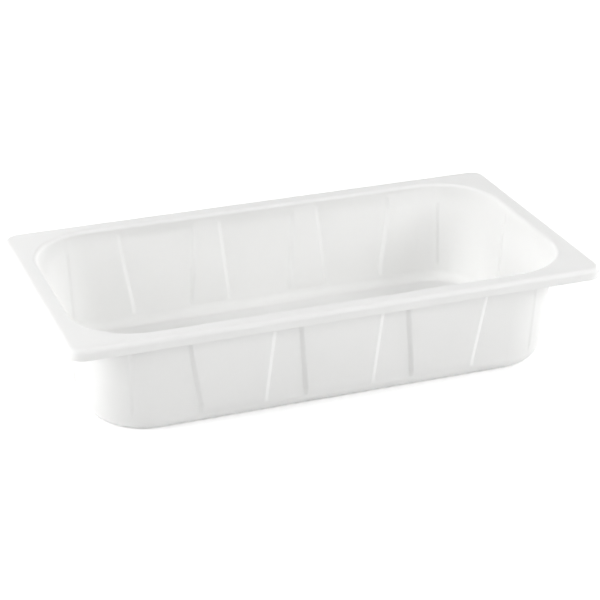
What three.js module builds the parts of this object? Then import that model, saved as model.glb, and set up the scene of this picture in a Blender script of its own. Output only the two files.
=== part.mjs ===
// One-piece moulded plastic food tray: a flat rim with a turned-down lip, drafted walls with
// stepped trapezoid panels, a rounded bottom edge and a flat floor.
// Millimetres, +Z up. The origin is the middle of the underside. X runs along the long walls.

import * as THREE from "three";

// Overall size
const RIM_LENGTH = 325;
const RIM_WIDTH = 176;
const HEIGHT = 66.5;

// Rim and lip
const RIM_WIDTH_AT_SIDE = 10;
const RIM_CORNER_RADIUS = 9;
const RIM_THICKNESS = 1.6;
const RIM_EDGE_RADIUS = 3;
const LIP_DROP = 7;
const LIP_THICKNESS = 1.3;
const NECK_RADIUS = 2;

// Walls and floor
const WALL_THICKNESS = 1.2;
const FLOOR_THICKNESS = 1.4;
const SIDE_DRAFT_PER_MM = 0.075;
const END_DRAFT_PER_MM = 0.13;
const BODY_CORNER_RADIUS = 41;
const BASE_FILLET = 7;

// Stepped panels. A sloped ledge under the rim runs all round. Below it the wide panels are
// stepped inwards a little, and the corners and the strips further. They all run out at the foot.
const PANEL_STEP = 0.2;
const CORNER_STEP = 1.2;
const STRIP_STEP = 1.9;
const FOOT_STEP = 1.3;
const LEDGE_DEPTH = 6;
const LEDGE_FALL = 7;
const PANEL_FOOT_HEIGHT = 12.5;
const PANEL_FOOT_FALL = 5;
const STEP_RUN = 2.4;
const END_STEP_RUN = 1.6;
const CORNER_STEP_SPREAD = THREE.MathUtils.degToRad(1.2);

// Panel edges, measured from the middle of the wall, at the panel's top and at its foot.
// The corner edge lies on the round corner, between its strip and the corner's own step.
const END_PANEL_EDGE = { top: 20.7, foot: 14.7 };
const CORNER_EDGE = { top: 125.3, foot: 124.6 };
const OUTER_PANEL_FAR_EDGE = { top: 90.1, foot: 83.7 };
const OUTER_PANEL_NEAR_EDGE = { top: 42.5, foot: 46.7 };
const MIDDLE_PANEL_EDGE = { top: 23.8, foot: 19.9 };

// Smoothness of the round parts
const CORNER_SEGMENTS = 8;
const STRIP_SEGMENTS = 3;
const BASE_FILLET_SEGMENTS = 4;
const NECK_SEGMENTS = 3;
const EDGE_SEGMENTS = 3;

const PLASTIC = { color: 0xf2f2f0, roughness: 0.42, metalness: 0 };

const RIM_HALF = new THREE.Vector2(RIM_LENGTH / 2, RIM_WIDTH / 2);
const BODY_HALF = RIM_HALF.clone().subScalar(RIM_WIDTH_AT_SIDE);
const PANEL_TOP = HEIGHT - LEDGE_DEPTH - LEDGE_FALL;
const PANEL_BASE = PANEL_FOOT_HEIGHT;
const QUARTER_TURN = Math.PI / 2;

// A rounded rectangle: half sizes and corner radius.
function outline(half, radius) {
  return { half, radius, centre: half.clone().subScalar(radius) };
}

// A slanted panel edge's distance from the wall's middle at height z.
function edgeAt(edge, z) {
  const share = THREE.MathUtils.clamp((z - PANEL_BASE) / (PANEL_TOP - PANEL_BASE), 0, 1);
  return THREE.MathUtils.lerp(edge.foot, edge.top, share);
}

// Where the corner edge lies on the round corner at height z, as an angle from the end wall.
function cornerEdgeAngle(z) {
  const level = THREE.MathUtils.clamp(z, PANEL_BASE, PANEL_TOP);
  const shape = bodyOutline(level, STRIP_STEP);
  return Math.acos((edgeAt(CORNER_EDGE, level) - shape.centre.x) / shape.radius);
}

// Stations round one quarter of the tray, from the end wall's middle to the long wall's middle.
// Each tells how far the wall is stepped in there and where it lies on a given outline.
function quarterStations() {
  const onEnd = (edge, shift, step) => ({
    step,
    place: (shape, z) => new THREE.Vector2(shape.half.x, edgeAt(edge, z) + shift),
  });
  const onCorner = (angleAt, step) => ({
    step,
    place: (shape, z) => new THREE.Vector2(
      shape.centre.x + shape.radius * Math.cos(angleAt(z)),
      shape.centre.y + shape.radius * Math.sin(angleAt(z)),
    ),
  });
  const onSide = (edge, shift, step) => ({
    step,
    place: (shape, z) => new THREE.Vector2(edgeAt(edge, z) + shift, shape.half.y),
  });

  const stations = [onEnd(END_PANEL_EDGE, 0, PANEL_STEP), onEnd(END_PANEL_EDGE, END_STEP_RUN, CORNER_STEP)];
  for (let i = 0; i <= CORNER_SEGMENTS; i += 1) {
    const share = i / CORNER_SEGMENTS;
    stations.push(onCorner((z) => (cornerEdgeAngle(z) - CORNER_STEP_SPREAD) * share, CORNER_STEP));
  }
  for (let i = 0; i <= STRIP_SEGMENTS; i += 1) {
    const share = i / STRIP_SEGMENTS;
    const start = (z) => cornerEdgeAngle(z) + CORNER_STEP_SPREAD;
    stations.push(onCorner((z) => THREE.MathUtils.lerp(start(z), QUARTER_TURN, share), STRIP_STEP));
  }
  stations.push(onSide(OUTER_PANEL_FAR_EDGE, STEP_RUN, STRIP_STEP));
  stations.push(onSide(OUTER_PANEL_FAR_EDGE, 0, PANEL_STEP));
  stations.push(onSide(OUTER_PANEL_NEAR_EDGE, 0, PANEL_STEP));
  stations.push(onSide(OUTER_PANEL_NEAR_EDGE, -STEP_RUN, STRIP_STEP));
  stations.push(onSide(MIDDLE_PANEL_EDGE, STEP_RUN, STRIP_STEP));
  stations.push(onSide(MIDDLE_PANEL_EDGE, 0, PANEL_STEP));
  return stations;
}

const QUARTER = quarterStations();

// One closed ring of points at height z. shapeFor gives the outline for a station's step.
function ring(z, shapeFor) {
  const quarter = QUARTER.map((station) => station.place(shapeFor(station.step), z));
  const mirrored = (sx, sy) => quarter.map((p) => new THREE.Vector3(p.x * sx, p.y * sy, z));
  return [
    ...mirrored(1, 1),
    ...mirrored(-1, 1).reverse(),
    ...mirrored(-1, -1),
    ...mirrored(1, -1).reverse(),
  ];
}

// The body's outline at height z, set inwards by the draft and by a further inset.
function bodyOutline(z, inset) {
  const depth = HEIGHT - z;
  const endInset = END_DRAFT_PER_MM * depth + inset;
  const sideInset = SIDE_DRAFT_PER_MM * depth + inset;
  const half = BODY_HALF.clone().sub(new THREE.Vector2(endInset, sideInset));
  return outline(half, BODY_CORNER_RADIUS - sideInset);
}

// A ring of the body with its panels.
function panelRing(z, inset) {
  return ring(z, (step) => bodyOutline(z, inset + step));
}

// A ring of the body below the panels, stepped in all round.
function footRing(z, inset) {
  return ring(z, () => bodyOutline(z, inset + FOOT_STEP));
}

// A ring of the body that is flush all round.
function flushRing(z, inset) {
  return ring(z, () => bodyOutline(z, inset));
}

// A ring on the rim's outline, set inwards by inset.
function rimRing(z, inset) {
  return ring(z, () => outline(RIM_HALF.clone().subScalar(inset), RIM_CORNER_RADIUS - inset));
}

// The bottom edge's rounding, from the flat underside or floor at level up to the wall.
function baseFillet(level, radius, inset) {
  const rings = [];
  for (let i = 0; i <= BASE_FILLET_SEGMENTS; i += 1) {
    const angle = (QUARTER_TURN * i) / BASE_FILLET_SEGMENTS;
    const rise = radius * (1 - Math.cos(angle));
    rings.push(footRing(level + rise, inset + radius * (1 - Math.sin(angle))));
  }
  return rings;
}

// The rounding where the wall turns out into the rim, from the wall up to the rim at level.
function neck(level, inset) {
  const rings = [];
  for (let i = 0; i <= NECK_SEGMENTS; i += 1) {
    const angle = (QUARTER_TURN * i) / NECK_SEGMENTS;
    const drop = NECK_RADIUS * (1 - Math.sin(angle));
    rings.push(flushRing(level - drop, inset - NECK_RADIUS * (1 - Math.cos(angle))));
  }
  return rings;
}

// One face of the wall, from its floor or underside up to the rim at rimLevel.
function wallFace(level, filletRadius, rimLevel, inset, lift) {
  return [
    ...baseFillet(level, filletRadius, inset),
    footRing(PANEL_FOOT_HEIGHT - PANEL_FOOT_FALL + lift, inset),
    panelRing(PANEL_FOOT_HEIGHT + lift, inset),
    panelRing(PANEL_TOP + lift, inset),
    flushRing(PANEL_TOP + LEDGE_FALL + lift, inset),
    ...neck(rimLevel, inset),
  ];
}

// The rim's rounded edge with a given radius, from the flat face at level down to the lip.
function rimEdge(level, radius) {
  const rings = [];
  for (let i = 0; i <= EDGE_SEGMENTS; i += 1) {
    const angle = (QUARTER_TURN * i) / EDGE_SEGMENTS;
    const drop = radius * (1 - Math.cos(angle));
    rings.push(rimRing(level - drop, RIM_EDGE_RADIUS - radius * Math.sin(angle)));
  }
  return rings;
}

// The rim: underside, lip and rounded outer edge, ending on the flat top.
function rimFace() {
  const lipFoot = HEIGHT - LIP_DROP;
  return [
    ...rimEdge(HEIGHT - RIM_THICKNESS, RIM_EDGE_RADIUS - LIP_THICKNESS),
    rimRing(lipFoot, LIP_THICKNESS),
    rimRing(lipFoot, 0),
    ...rimEdge(HEIGHT, RIM_EDGE_RADIUS).reverse(),
  ];
}

// Joins the rings in order with triangles and closes both ends with a flat fan.
function closedSkin(rings) {
  const count = rings[0].length;
  const points = rings.flat();
  const first = points.push(new THREE.Vector3(0, 0, rings[0][0].z)) - 1;
  const last = points.push(new THREE.Vector3(0, 0, rings.at(-1)[0].z)) - 1;
  const lastRing = (rings.length - 1) * count;
  const faces = [];
  for (let i = 0; i < count; i += 1) {
    const next = (i + 1) % count;
    for (let row = 0; row < lastRing; row += count) {
      faces.push(row + i, row + next, row + count + next);
      faces.push(row + i, row + count + next, row + count + i);
    }
    faces.push(first, next, i);
    faces.push(last, lastRing + i, lastRing + next);
  }
  const geometry = new THREE.BufferGeometry();
  geometry.setFromPoints(points);
  geometry.setIndex(faces);
  geometry.computeVertexNormals();
  return geometry;
}

function buildTray() {
  const outside = wallFace(0, BASE_FILLET, HEIGHT - RIM_THICKNESS, 0, 0);
  const innerFillet = BASE_FILLET - WALL_THICKNESS;
  const ledgeLift = WALL_THICKNESS / 2;
  const inside = wallFace(FLOOR_THICKNESS, innerFillet, HEIGHT, WALL_THICKNESS, ledgeLift);
  const geometry = closedSkin([...outside, ...rimFace(), ...inside.reverse()]);
  const tray = new THREE.Mesh(geometry, new THREE.MeshStandardMaterial(PLASTIC));
  tray.name = "tray";
  return tray;
}

const part = new THREE.Group();
part.add(buildTray());

export default part;
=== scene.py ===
"""A white moulded plastic food tray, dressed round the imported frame.

One thin sheet makes the whole tray: flat floor, rounded bottom edge, drafted walls with stepped
panels, flat rim and turned-down lip. Metres, +Z up, the origin in the middle of the underside,
X along the long walls.
"""

import logging
import math
from collections.abc import Callable, Iterator
from contextlib import contextmanager
from dataclasses import dataclass, field
from enum import Enum

import bmesh
import bpy
from mathutils import Matrix, Vector


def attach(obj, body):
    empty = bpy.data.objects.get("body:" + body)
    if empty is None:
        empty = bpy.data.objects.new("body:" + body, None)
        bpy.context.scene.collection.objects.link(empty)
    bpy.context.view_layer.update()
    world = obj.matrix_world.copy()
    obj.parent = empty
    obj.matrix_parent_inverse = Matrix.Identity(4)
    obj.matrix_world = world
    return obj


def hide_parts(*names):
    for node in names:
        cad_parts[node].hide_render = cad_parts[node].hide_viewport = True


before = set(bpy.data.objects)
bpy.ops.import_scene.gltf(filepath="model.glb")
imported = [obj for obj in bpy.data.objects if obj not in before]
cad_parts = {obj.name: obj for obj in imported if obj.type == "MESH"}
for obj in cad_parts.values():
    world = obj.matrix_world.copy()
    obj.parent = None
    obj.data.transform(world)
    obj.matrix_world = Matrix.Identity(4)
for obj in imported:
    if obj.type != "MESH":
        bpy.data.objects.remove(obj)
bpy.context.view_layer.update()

log = logging.getLogger("tray")

QUARTER_TURN = math.pi / 2
MM = 0.001


class ModifierKind(Enum):
    """The modifiers that shape the tray."""

    MIRROR = "MIRROR"
    THICKEN = "SOLIDIFY"
    FLATTEN_SHADING = "WEIGHTED_NORMAL"


def deselect_objects() -> None:
    """Leaves no object selected."""
    bpy.ops.object.select_all(action="DESELECT")


@contextmanager
def editing(piece: bpy.types.Object) -> Iterator[None]:
    """Opens a piece in edit mode with nothing selected, and closes it afterwards.

    Args:
        piece: The mesh object to edit.
    """
    deselect_objects()
    piece.select_set(True)
    bpy.context.view_layer.objects.active = piece
    bpy.ops.object.mode_set(mode="EDIT")
    bpy.ops.mesh.select_all(action="DESELECT")
    yield
    bpy.ops.object.mode_set(mode="OBJECT")


def select_edges(piece: bpy.types.Object, wanted: Callable[[bmesh.types.BMEdge], bool]) -> None:
    """Selects the edges of the piece in edit mode that pass a test.

    Args:
        piece: The mesh object, in edit mode.
        wanted: The test that an edge has to pass.
    """
    bpy.ops.mesh.select_mode(type="EDGE")
    bpy.ops.mesh.select_all(action="DESELECT")
    mesh = bmesh.from_edit_mesh(piece.data)
    for edge in [edge for edge in mesh.edges if wanted(edge)]:
        edge.select_set(True)
    bmesh.update_edit_mesh(piece.data)


def apply_modifier(piece: bpy.types.Object, kind: ModifierKind, **settings: object) -> None:
    """Adds a modifier to a piece with its settings and applies it.

    Args:
        piece: The mesh object.
        kind: The kind of modifier.
        **settings: The modifier's settings by name.
    """
    deselect_objects()
    piece.select_set(True)
    bpy.context.view_layer.objects.active = piece
    modifier = piece.modifiers.new(kind.name, kind.value)
    for name, value in settings.items():
        setattr(modifier, name, value)
    bpy.ops.object.modifier_apply(modifier=modifier.name)


@dataclass(frozen=True)
class Outline:
    """A rounded rectangle: its half sizes and its corner radius."""

    half_x: float
    half_y: float
    radius: float

    @property
    def centre_x(self) -> float:
        """Where the corner's centre lies along the tray."""
        return self.half_x - self.radius

    @property
    def centre_y(self) -> float:
        """Where the corner's centre lies across the tray."""
        return self.half_y - self.radius

    def inset(self, distance: float) -> "Outline":
        """The same outline, moved inwards by a distance all round."""
        return Outline(self.half_x - distance, self.half_y - distance, self.radius - distance)


@dataclass(frozen=True)
class PanelEdge:
    """A slanted panel edge, measured from the wall's middle at the panel's top and foot."""

    top: float
    foot: float

    def at(self, share: float) -> float:
        """The edge's distance from the wall's middle, share 0 at the foot and 1 at the top."""
        return self.foot + (self.top - self.foot) * share


@dataclass(frozen=True)
class Ring:
    """One level of the sheet: an outline for each step depth, the height and the edges' share."""

    height: float
    share: float
    outline_at: Callable[[float], Outline]


@dataclass
class OutlinePen:
    """Draws one quarter of a ring in edit mode, vertex by vertex, from the end wall's middle.

    The vertex that was drawn last stays selected, so that the next stroke goes on from it.
    """

    height: float
    place: Vector = field(default_factory=Vector)

    def start(self, x: float, y: float) -> None:
        """Puts the first vertex down.

        Args:
            x: Its place along the tray.
            y: Its place across the tray.
        """
        self.place = Vector((x, y, self.height))
        bpy.ops.mesh.select_all(action="DESELECT")
        bpy.ops.mesh.primitive_plane_add(size=MM, location=self.place)
        bpy.ops.mesh.merge(type="CENTER")

    def line_to(self, x: float, y: float) -> None:
        """Draws a straight stroke to a place.

        Args:
            x: The place along the tray.
            y: The place across the tray.
        """
        target = Vector((x, y, self.height))
        shift = target - self.place
        bpy.ops.mesh.extrude_vertices_move(TRANSFORM_OT_translate={"value": shift})
        self.place = target

    def arc(self, centre: Vector, angle: float, steps: int) -> None:
        """Draws an arc round a centre, from the end wall towards the long wall.

        Args:
            centre: The arc's centre.
            angle: The turn in radians.
            steps: The number of straight pieces.
        """
        bpy.ops.mesh.spin(steps=steps, angle=-angle, center=centre, axis=(0, 0, 1))
        self.place = centre + Matrix.Rotation(angle, 3, "Z") @ (self.place - centre)


@dataclass
class TraySheet:
    """The tray, moulded as one thin sheet. Sizes are in metres.

    The sheet's middle surface is drawn first, and it then gets its thickness to both sides.
    """

    rim: Outline = Outline(0.1625, 0.088, 0.009)
    body: Outline = Outline(0.1525, 0.078, 0.041)
    height: float = 0.0665
    thickness: float = 0.0012
    side_draft: float = 0.075
    end_draft: float = 0.13

    lip_drop: float = 0.007
    lip_edge_round: float = 0.0004
    rim_edge_radius: float = 0.0024
    neck_radius: float = 0.002
    bottom_radius: float = 0.0064

    panel_step: float = 0.0002
    corner_step: float = 0.0012
    strip_step: float = 0.0019
    foot_step: float = 0.0013
    step_run: float = 0.0024
    end_step_run: float = 0.0011
    step_round: float = 0.0007
    corner_step_spread: float = math.radians(1.2)
    ledge_depth: float = 0.006
    ledge_fall: float = 0.007
    panel_foot: float = 0.0125
    panel_foot_fall: float = 0.005

    end_panel: PanelEdge = PanelEdge(0.0207, 0.0147)
    corner_line: PanelEdge = PanelEdge(0.1253, 0.1246)
    outer_panel_far: PanelEdge = PanelEdge(0.0901, 0.0837)
    outer_panel_near: PanelEdge = PanelEdge(0.0425, 0.0467)
    middle_panel: PanelEdge = PanelEdge(0.0238, 0.0199)

    corner_steps: int = 18
    strip_steps: int = 6
    bottom_steps: int = 7
    neck_steps: int = 6
    rim_edge_steps: int = 7
    smooth_below: float = math.radians(18)
    shade_smooth_below: float = math.radians(40)

    def build(self) -> bpy.types.Object:
        """Builds the tray.

        Returns:
            The finished mesh object.
        """
        piece = self._empty_piece()
        with editing(piece):
            rings = self._rings()
            for number, ring in enumerate(rings):
                self._draw(ring)
                if number:
                    self._join(piece, number)
        apply_modifier(
            piece,
            ModifierKind.MIRROR,
            use_axis=(True, True, False),
            use_clip=True,
            merge_threshold=MM / 100,
        )
        with editing(piece):
            self._fill_floor(piece)
            self._face_upwards()
            self._round_steps()
        apply_modifier(
            piece,
            ModifierKind.THICKEN,
            thickness=self.thickness,
            offset=0,
            use_even_offset=True,
            use_quality_normals=True,
        )
        with editing(piece):
            self._round_lip_foot(piece)
        self._shade(piece)
        return piece

    def _empty_piece(self) -> bpy.types.Object:
        """Adds the object that the sheet is drawn in.

        Returns:
            A mesh object with nothing in it, at the origin.
        """
        deselect_objects()
        bpy.ops.mesh.primitive_plane_add(size=MM, location=(0, 0, 0))
        piece = bpy.context.object
        piece.name = "tray_shell"
        with editing(piece):
            bpy.ops.mesh.select_all(action="SELECT")
            bpy.ops.mesh.delete(type="VERT")
        return piece

    def _body_at(self, height: float, inset: float) -> Outline:
        """The body's middle outline at a height.

        Args:
            height: The height above the underside.
            inset: How far the wall is stepped in there.

        Returns:
            The outline, set in by the draft, the inset and half the thickness.
        """
        depth = self.height - height
        distance = self.side_draft * depth + inset + self.thickness / 2
        drafted = self.body.inset(distance)
        more = (self.end_draft - self.side_draft) * depth
        return Outline(drafted.half_x - more, drafted.half_y, drafted.radius)

    def _edge_share(self, height: float) -> float:
        """How far up the panels a height lies.

        Args:
            height: The height above the underside.

        Returns:
            0 at the panels' foot and below, 1 at their top and above.
        """
        top = self.height - self.ledge_depth - self.ledge_fall
        share = (height - self.panel_foot) / (top - self.panel_foot)
        return min(1.0, max(0.0, share))

    def _wall_ring(self, height: float, inset: float, stepped: bool = False) -> Ring:
        """A ring of the wall.

        Args:
            height: The height above the underside.
            inset: How far the whole ring is set in.
            stepped: Whether the strips and corners are stepped in as well.

        Returns:
            The ring.
        """

        def outline_at(step: float) -> Outline:
            """The outline where the wall is stepped in by step."""
            return self._body_at(height, inset + (step if stepped else 0.0))

        return Ring(height, self._edge_share(height), outline_at)

    def _rim_ring(self, height: float, inset: float) -> Ring:
        """A ring of the rim.

        Args:
            height: The height above the underside.
            inset: How far the ring lies inside the rim's outer face.

        Returns:
            The ring.
        """
        return Ring(height, 1.0, lambda step: self.rim.inset(inset))

    def _rings(self) -> list[Ring]:
        """Lists the sheet's rings, from the floor up the wall, out over the rim and down the lip.

        Returns:
            The rings in order.
        """
        half = self.thickness / 2
        rings = []
        for turn in self._turns(self.bottom_steps):
            rise = self.bottom_radius * (1 - math.cos(turn))
            inset = self.foot_step + self.bottom_radius * (1 - math.sin(turn))
            rings.append(self._wall_ring(half + rise, inset))

        lift = half / 2
        foot = self.panel_foot + lift
        ledge = self.height - self.ledge_depth + lift
        rings.append(self._wall_ring(foot - self.panel_foot_fall, self.foot_step))
        rings.append(self._wall_ring(foot, 0.0, stepped=True))
        rings.append(self._wall_ring(ledge - self.ledge_fall, 0.0, stepped=True))
        rings.append(self._wall_ring(ledge, 0.0))

        top = self.height - half
        for turn in self._turns(self.neck_steps):
            drop = self.neck_radius * (1 - math.sin(turn))
            rings.append(self._wall_ring(top - drop, -self.neck_radius * (1 - math.cos(turn))))
        for turn in self._turns(self.rim_edge_steps):
            drop = self.rim_edge_radius * (1 - math.cos(turn))
            inset = half + self.rim_edge_radius * (1 - math.sin(turn))
            rings.append(self._rim_ring(top - drop, inset))
        rings.append(self._rim_ring(self.height - self.lip_drop, half))
        return rings

    @staticmethod
    def _turns(steps: int) -> list[float]:
        """The angles of a quarter turn in equal steps, both ends included."""
        return [QUARTER_TURN * number / steps for number in range(steps + 1)]

    def _draw(self, ring: Ring) -> None:
        """Draws one quarter of a ring, from the end wall's middle to the long wall's middle.

        Args:
            ring: The ring to draw.
        """
        panel = ring.outline_at(self.panel_step)
        corner = ring.outline_at(self.corner_step)
        strip = ring.outline_at(self.strip_step)
        run = self.step_run

        pen = OutlinePen(ring.height)
        pen.start(panel.half_x, 0.0)
        edge = self.end_panel.at(ring.share)
        pen.line_to(panel.half_x, edge)
        pen.line_to(corner.half_x, edge + self.end_step_run)
        pen.line_to(corner.half_x, corner.centre_y)

        line = self._corner_line_angle(ring)
        before = line - self.corner_step_spread
        after = line + self.corner_step_spread
        centre = Vector((corner.centre_x, corner.centre_y, ring.height))
        pen.arc(centre, before, self.corner_steps)
        pen.line_to(
            strip.centre_x + strip.radius * math.cos(after),
            strip.centre_y + strip.radius * math.sin(after),
        )
        centre = Vector((strip.centre_x, strip.centre_y, ring.height))
        pen.arc(centre, QUARTER_TURN - after, self.strip_steps)

        far = self.outer_panel_far.at(ring.share)
        near = self.outer_panel_near.at(ring.share)
        middle = self.middle_panel.at(ring.share)
        pen.line_to(far + run, strip.half_y)
        pen.line_to(far, panel.half_y)
        pen.line_to(near, panel.half_y)
        pen.line_to(near - run, strip.half_y)
        pen.line_to(middle + run, strip.half_y)
        pen.line_to(middle, panel.half_y)
        pen.line_to(0.0, panel.half_y)

    def _corner_line_angle(self, ring: Ring) -> float:
        """Where the step on the round corner lies, as an angle from the end wall.

        Args:
            ring: The ring that is drawn.

        Returns:
            The angle in radians.
        """
        top = self.height - self.ledge_depth - self.ledge_fall
        level = min(top, max(self.panel_foot, ring.height))
        shape = self._body_at(level, self.strip_step)
        return math.acos((self.corner_line.at(ring.share) - shape.centre_x) / shape.radius)

    def _join(self, piece: bpy.types.Object, number: int) -> None:
        """Joins the ring that was drawn last to the one before it.

        Args:
            piece: The sheet, in edit mode.
            number: The last ring's number. Each ring has as many vertices as the others.
        """
        per_ring = len(bmesh.from_edit_mesh(piece.data).verts) // (number + 1)

        def in_the_last_two(edge: bmesh.types.BMEdge) -> bool:
            """Whether an edge runs along one of the last two rings."""
            first, second = (vertex.index // per_ring for vertex in edge.verts)
            return first == second and first >= number - 1

        bmesh.from_edit_mesh(piece.data).verts.index_update()
        select_edges(piece, in_the_last_two)
        bpy.ops.mesh.bridge_edge_loops()
        bpy.ops.mesh.select_mode(type="VERT")

    def _fill_floor(self, piece: bpy.types.Object) -> None:
        """Closes the flat floor inside the lowest ring.

        Args:
            piece: The sheet, in edit mode.
        """
        level = self.thickness / 2 + MM / 100

        def bounds_floor(edge: bmesh.types.BMEdge) -> bool:
            """Whether an edge is an open one at the floor's level."""
            return edge.is_boundary and all(vertex.co.z < level for vertex in edge.verts)

        select_edges(piece, bounds_floor)
        bpy.ops.mesh.edge_face_add()

    @staticmethod
    def _face_upwards() -> None:
        """Turns all faces the same way, while the sheet is still open."""
        bpy.ops.mesh.select_all(action="SELECT")
        bpy.ops.mesh.normals_make_consistent(inside=False)

    def _round_steps(self) -> None:
        """Rounds the edges of the panels, strips, ledges and feet."""
        bpy.ops.mesh.select_mode(type="EDGE")
        bpy.ops.mesh.select_all(action="DESELECT")
        bpy.ops.mesh.edges_select_sharp(sharpness=self.smooth_below)
        bpy.ops.mesh.bevel(offset=self.step_round, segments=3, affect="EDGES", clamp_overlap=True)

    def _round_lip_foot(self, piece: bpy.types.Object) -> None:
        """Rounds both edges of the lip's open foot.

        Args:
            piece: The thick sheet, in edit mode.
        """
        foot = self.height - self.lip_drop

        def at_lip_foot(edge: bmesh.types.BMEdge) -> bool:
            """Whether an edge runs along the lip's foot and not across it."""
            level = all(abs(vertex.co.z - foot) < MM / 50 for vertex in edge.verts)
            return level and edge.calc_face_angle(0.0) > QUARTER_TURN / 2

        select_edges(piece, at_lip_foot)
        bpy.ops.mesh.bevel(
            offset=self.lip_edge_round, segments=2, affect="EDGES", clamp_overlap=True
        )

    def _shade(self, piece: bpy.types.Object) -> None:
        """Smooths the round parts and keeps the flat ones flat.

        Args:
            piece: The finished tray.
        """
        deselect_objects()
        piece.select_set(True)
        bpy.context.view_layer.objects.active = piece
        bpy.ops.object.shade_smooth_by_angle(angle=self.shade_smooth_below)
        apply_modifier(
            piece, ModifierKind.FLATTEN_SHADING, mode="FACE_AREA", keep_sharp=True
        )


@dataclass(frozen=True)
class SatinPolypropylene:
    """White satin polypropylene, with the fine grain and slow flow marks of a moulding."""

    name: str = "white_satin_plastic"
    colour: tuple[float, float, float] = (0.86, 0.86, 0.85)
    roughness: float = 0.52
    roughness_spread: float = 0.05
    sheen: float = 0.35
    refraction: float = 1.49
    milkiness: float = 0.6
    light_reach: float = 0.004
    flow_scale: float = 28.0
    flow_darkest: float = 0.985
    flow_lightest: float = 1.01
    patch_scale: float = 60.0
    grain_scale: float = 1400.0
    grain_strength: float = 0.25
    grain_depth: float = 0.00003

    def material(self) -> bpy.types.Material:
        """Makes the material.

        Returns:
            The material, with its colour, roughness and grain from nodes.
        """
        material = bpy.data.materials.new(self.name)
        material.use_nodes = True
        nodes = material.node_tree.nodes
        links = material.node_tree.links
        shader = nodes["Principled BSDF"]
        shader.inputs["IOR"].default_value = self.refraction
        shader.inputs["Specular IOR Level"].default_value = self.sheen
        shader.inputs["Subsurface Weight"].default_value = self.milkiness
        shader.inputs["Subsurface Radius"].default_value = (1, 1, 1)
        shader.inputs["Subsurface Scale"].default_value = self.light_reach
        coordinates = nodes.new("ShaderNodeTexCoord")

        flow = self._noise(nodes, links, coordinates, self.flow_scale, detail=2.0)
        tint = nodes.new("ShaderNodeMix")
        tint.data_type = "RGBA"
        tint.inputs["A"].default_value = self._shade_of_colour(self.flow_darkest)
        tint.inputs["B"].default_value = self._shade_of_colour(self.flow_lightest)
        links.new(flow, tint.inputs["Factor"])
        links.new(tint.outputs["Result"], shader.inputs["Base Color"])

        patches = self._noise(nodes, links, coordinates, self.patch_scale, detail=3.0)
        sheen = nodes.new("ShaderNodeMapRange")
        sheen.inputs["To Min"].default_value = self.roughness - self.roughness_spread
        sheen.inputs["To Max"].default_value = self.roughness + self.roughness_spread
        links.new(patches, sheen.inputs["Value"])
        links.new(sheen.outputs["Result"], shader.inputs["Roughness"])

        grain = self._noise(nodes, links, coordinates, self.grain_scale, detail=2.0)
        bump = nodes.new("ShaderNodeBump")
        bump.inputs["Strength"].default_value = self.grain_strength
        bump.inputs["Distance"].default_value = self.grain_depth
        links.new(grain, bump.inputs["Height"])
        links.new(bump.outputs["Normal"], shader.inputs["Normal"])
        return material

    def _shade_of_colour(self, factor: float) -> tuple[float, ...]:
        """The plastic's colour with all parts multiplied by a factor, and full alpha."""
        return (*[value * factor for value in self.colour], 1.0)

    @staticmethod
    def _noise(
        nodes: bpy.types.Nodes,
        links: bpy.types.NodeLinks,
        coordinates: bpy.types.Node,
        scale: float,
        detail: float,
    ) -> bpy.types.NodeSocket:
        """Adds a noise texture on the tray's own coordinates.

        Args:
            nodes: The material's nodes.
            links: The material's links.
            coordinates: The texture coordinate node.
            scale: The noise's scale, in repeats per metre.
            detail: The noise's detail.

        Returns:
            The socket that gives the noise.
        """
        noise = nodes.new("ShaderNodeTexNoise")
        noise.inputs["Scale"].default_value = scale
        noise.inputs["Detail"].default_value = detail
        links.new(coordinates.outputs["Object"], noise.inputs["Vector"])
        return noise.outputs["Fac"]


@dataclass(frozen=True)
class SoftBox:
    """A large soft lamp that looks at the tray from a compass direction."""

    name: str
    azimuth: float
    elevation: float
    power: float
    size: float = 0.9
    distance: float = 1.8

    def light(self) -> bpy.types.Object:
        """Adds the lamp.

        Returns:
            The lamp object, turned towards the tray.
        """
        azimuth = math.radians(self.azimuth)
        elevation = math.radians(self.elevation)
        level = math.cos(elevation)
        towards = Vector((level * math.cos(azimuth), level * math.sin(azimuth), math.sin(elevation)))
        data = bpy.data.lights.new(self.name, "AREA")
        data.shape = "DISK"
        data.size = self.size
        data.energy = self.power
        lamp = bpy.data.objects.new(self.name, data)
        lamp.location = towards * self.distance
        lamp.rotation_euler = towards.to_track_quat("Z", "Y").to_euler()
        bpy.context.scene.collection.objects.link(lamp)
        return lamp


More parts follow.
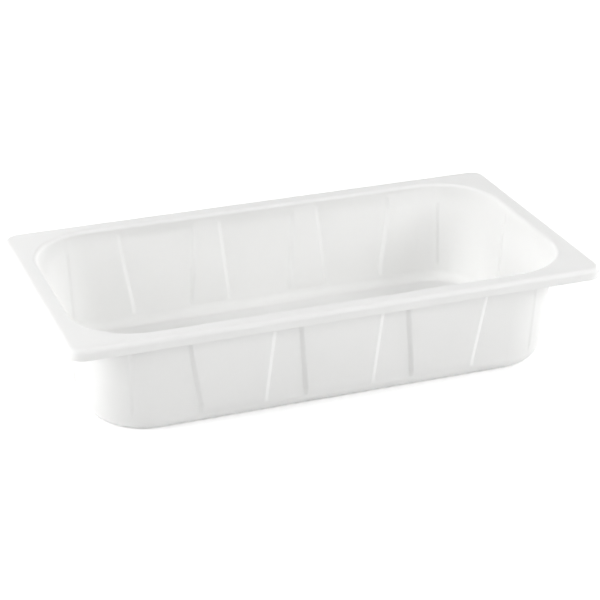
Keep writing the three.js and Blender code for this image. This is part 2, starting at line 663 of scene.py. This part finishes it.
@dataclass
class Studio:
    """The plain pale floor, the white surroundings and the soft lamps.

    The floor is lifted by its glow where it is seen directly, so that the tray's shadow stays
    within shadow_reach of the middle, and it is all white from white_from on.
    """

    ambient: float = 0.02
    floor_size: float = 12.0
    floor_colour: float = 0.9
    floor_glow: float = 0.37
    shadow_reach: float = 0.3
    white_from: float = 0.9
    lamps: tuple[SoftBox, ...] = (
        SoftBox("overhead", azimuth=0, elevation=90, power=8.2),
        SoftBox("front_right", azimuth=-60, elevation=25, power=10.0),
        SoftBox("right_front", azimuth=-30, elevation=25, power=8.1),
        SoftBox("right_front_low", azimuth=-30, elevation=8, power=1.4, size=0.45),
        SoftBox("right", azimuth=0, elevation=25, power=2.6),
        SoftBox("right_back_low", azimuth=30, elevation=8, power=11.3, size=0.45),
        SoftBox("back_low", azimuth=90, elevation=8, power=5.4, size=0.45),
        SoftBox("left_back_low", azimuth=150, elevation=8, power=8.4, size=0.45),
        SoftBox("left_low", azimuth=180, elevation=8, power=2.0, size=0.45),
        SoftBox("left", azimuth=180, elevation=25, power=11.4),
        SoftBox("left_high", azimuth=180, elevation=50, power=3.0),
        SoftBox("left_front", azimuth=210, elevation=25, power=4.2),
    )

    def build(self) -> bpy.types.Object:
        """Sets the studio up.

        Returns:
            The floor.
        """
        self._surroundings()
        for lamp in self.lamps:
            lamp.light()
        deselect_objects()
        bpy.ops.mesh.primitive_plane_add(size=self.floor_size, location=(0, 0, 0))
        floor = bpy.context.object
        floor.name = "studio_floor"
        floor.data.materials.append(self._floor_material())
        return floor

    @staticmethod
    def _seen_directly(
        nodes: bpy.types.Nodes, links: bpy.types.NodeLinks
    ) -> bpy.types.NodeSocket:
        """Adds a switch that is on where the camera, or gloss or glass, sees the surface.

        Args:
            nodes: The nodes of the material or world.
            links: Their links.

        Returns:
            The socket that gives 1 or 0.
        """
        path = nodes.new("ShaderNodeLightPath")
        total = path.outputs["Is Camera Ray"]
        for name in ("Is Glossy Ray", "Is Transmission Ray"):
            either = nodes.new("ShaderNodeMath")
            either.operation = "MAXIMUM"
            links.new(total, either.inputs[0])
            links.new(path.outputs[name], either.inputs[1])
            total = either.outputs["Value"]
        return total

    def _surroundings(self) -> None:
        """Makes the world white to the eye and plain to the light."""
        world = bpy.data.worlds.new("studio_world")
        bpy.context.scene.world = world
        world.use_nodes = True
        nodes, links = world.node_tree.nodes, world.node_tree.links
        background = nodes["Background"]
        background.inputs["Color"].default_value = (1, 1, 1, 1)
        strength = nodes.new("ShaderNodeMapRange")
        strength.inputs["To Min"].default_value = self.ambient
        strength.inputs["To Max"].default_value = 1.0
        links.new(self._seen_directly(nodes, links), strength.inputs["Value"])
        links.new(strength.outputs["Result"], background.inputs["Strength"])

    def _floor_material(self) -> bpy.types.Material:
        """Makes the floor's material: pale and matt, and lifted to white where it is seen directly.

        Returns:
            The material.
        """
        material = bpy.data.materials.new("studio_floor")
        material.use_nodes = True
        nodes, links = material.node_tree.nodes, material.node_tree.links
        matt = nodes["Principled BSDF"]
        matt.inputs["Base Color"].default_value = (*[self.floor_colour] * 3, 1)
        matt.inputs["Roughness"].default_value = 1.0
        matt.inputs["Specular IOR Level"].default_value = 0.0
        coordinates = nodes.new("ShaderNodeTexCoord")
        distance = nodes.new("ShaderNodeVectorMath")
        distance.operation = "LENGTH"
        links.new(coordinates.outputs["Object"], distance.inputs[0])
        strength = nodes.new("ShaderNodeMapRange")
        strength.inputs["From Min"].default_value = self.shadow_reach
        strength.inputs["From Max"].default_value = self.white_from
        strength.inputs["To Min"].default_value = self.floor_glow
        strength.inputs["To Max"].default_value = 1.0
        links.new(distance.outputs["Value"], strength.inputs["Value"])
        glow = nodes.new("ShaderNodeEmission")
        links.new(strength.outputs["Result"], glow.inputs["Strength"])
        both = nodes.new("ShaderNodeAddShader")
        links.new(matt.outputs["BSDF"], both.inputs[0])
        links.new(glow.outputs["Emission"], both.inputs[1])
        mix = nodes.new("ShaderNodeMixShader")
        links.new(self._seen_directly(nodes, links), mix.inputs["Fac"])
        links.new(matt.outputs["BSDF"], mix.inputs[1])
        links.new(both.outputs["Shader"], mix.inputs[2])
        links.new(mix.outputs["Shader"], nodes["Material Output"].inputs["Surface"])
        return material


@dataclass(frozen=True)
class PhotoCamera:
    """The camera at the photograph's angle. The image is 600 pixels wide and high."""

    azimuth: float = math.radians(-20.164)
    elevation: float = math.radians(24.578)
    roll: float = math.radians(-0.194)
    distance: float = 1.1494
    aim_right: float = 0.001822
    aim_up: float = -0.029585
    aim_height: float = 0.0665
    focal_pixels: float = 1896.0
    image_pixels: float = 600.0
    sensor: float = 36.0
    far_limit: float = 50.0

    def build(self) -> bpy.types.Object:
        """Adds the camera and makes it the scene's camera.

        Returns:
            The camera object.
        """
        level = math.cos(self.elevation)
        back = Vector(
            (
                math.sin(self.azimuth) * level,
                -math.cos(self.azimuth) * level,
                math.sin(self.elevation),
            )
        )
        right = Vector((0, 0, 1)).cross(back).normalized()
        up = back.cross(right)
        rolled_right = right * math.cos(self.roll) + up * math.sin(self.roll)
        rolled_up = up * math.cos(self.roll) - right * math.sin(self.roll)

        data = bpy.data.cameras.new("photo_camera")
        data.sensor_width = self.sensor
        data.lens = self.focal_pixels / self.image_pixels * self.sensor
        data.clip_end = self.far_limit
        camera = bpy.data.objects.new("photo_camera", data)
        axes = Matrix((rolled_right, rolled_up, back)).transposed()
        place = Vector((0, 0, self.aim_height)) + back * self.distance
        place += rolled_right * self.aim_right + rolled_up * self.aim_up
        camera.matrix_world = Matrix.Translation(place) @ axes.to_4x4()
        bpy.context.scene.collection.objects.link(camera)
        bpy.context.scene.camera = camera
        return camera


def main() -> None:
    """Builds the camera, the studio and the tray."""
    logging.basicConfig(level=logging.INFO, format="%(name)s: %(message)s")
    bpy.context.scene.view_settings.view_transform = "Standard"
    camera = PhotoCamera().build()
    log.info("camera %s at %s", camera.name, [round(value, 3) for value in camera.location])

    floor = Studio().build()
    log.info("floor %s", floor.name)

    tray = TraySheet().build()
    tray.data.materials.clear()
    tray.data.materials.append(SatinPolypropylene().material())
    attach(tray, "root")
    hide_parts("tray")
    log.info("tray %s: %d faces", tray.name, len(tray.data.polygons))


if __name__ == "__main__":
    main()
